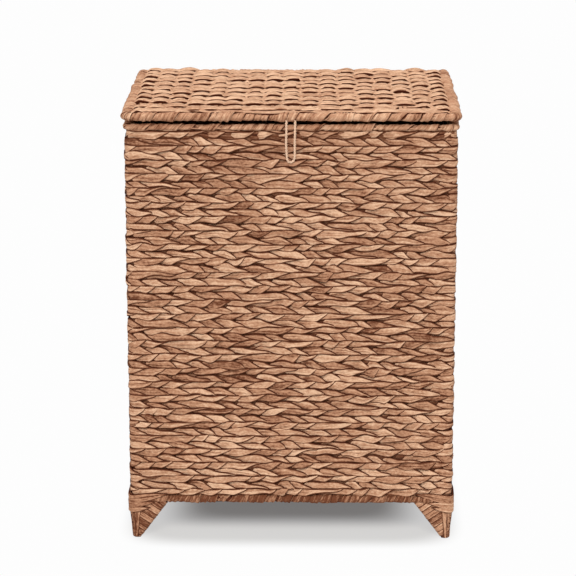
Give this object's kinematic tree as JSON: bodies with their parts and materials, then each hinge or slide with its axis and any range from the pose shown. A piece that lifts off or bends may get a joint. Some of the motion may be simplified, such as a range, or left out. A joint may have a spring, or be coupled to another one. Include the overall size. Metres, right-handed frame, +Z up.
{
  "type": "laundry hamper",
  "caption": "Rectangular lidded laundry hamper of braided water hyacinth on an iron-rod frame, with a woven hinged lid, a cord pull loop and wrapped corner feet.",
  "frame": {"origin": "on the floor under the middle of the hamper's footprint", "axes": "+Z up; the front, with the pull loop, faces -Y; +X is to the right of someone looking at the front"},
  "size_m": [0.457, 0.3573, 0.61],
  "materials": {
    "braided_hyacinth": "matte",
    "wrapped_hyacinth": "matte",
    "lid_weave": "matte",
    "frame_iron": "satin",
    "hinge_wire": "satin",
    "pull_cord": "matte"
  },
  "bodies": {
    "basket": {"base_rod_1": "frame_iron", "base_rod_2": "frame_iron", "base_rod_3": "frame_iron", "bottom_frame_ring": "frame_iron", "bottom_rim_wrap": "wrapped_hyacinth", "braided_wall": "braided_hyacinth", "corner_post_back_left": "frame_iron", "corner_post_back_right": "frame_iron", "corner_post_front_left": "frame_iron", "corner_post_front_right": "frame_iron", "foot_brace_back_left_back": "frame_iron", "foot_brace_back_left_side": "frame_iron", "foot_brace_back_right_back": "frame_iron", "foot_brace_back_right_side": "frame_iron", "foot_brace_front_left_front": "frame_iron", "foot_brace_front_left_side": "frame_iron", "foot_brace_front_right_front": "frame_iron", "foot_brace_front_right_side": "frame_iron", "foot_post_back_left": "frame_iron", "foot_post_back_right": "frame_iron", "foot_post_front_left": "frame_iron", "foot_post_front_right": "frame_iron", "foot_wrap_back_left": "wrapped_hyacinth", "foot_wrap_back_right": "wrapped_hyacinth", "foot_wrap_front_left": "wrapped_hyacinth", "foot_wrap_front_right": "wrapped_hyacinth", "hinge_link_left": "hinge_wire", "hinge_link_right": "hinge_wire", "top_frame_ring": "frame_iron", "top_rim_wrap": "wrapped_hyacinth", "top_rim_wrap_back": "wrapped_hyacinth", "wall_stake_back_left": "frame_iron", "wall_stake_back_right": "frame_iron", "wall_stake_front_left": "frame_iron", "wall_stake_front_right": "frame_iron", "wall_stake_left": "frame_iron", "wall_stake_right": "frame_iron", "woven_base": "braided_hyacinth"},
    "lid": {"lid_bar_1": "frame_iron", "lid_bar_2": "frame_iron", "lid_bar_3": "frame_iron", "lid_bar_4": "frame_iron", "lid_frame_ring": "frame_iron", "lid_rim_wrap": "wrapped_hyacinth", "lid_rim_wrap_back": "wrapped_hyacinth", "pull_loop": "pull_cord", "woven_lid_panel": "lid_weave"}
  },
  "joints": [
    {"name": "lid_hinge", "type": "hinge", "parent": "basket", "child": "lid", "pos_m": [0, 0.17, 0.6002], "axis": [-1, 0, 0], "range_deg": [0, 105]}
  ]
}
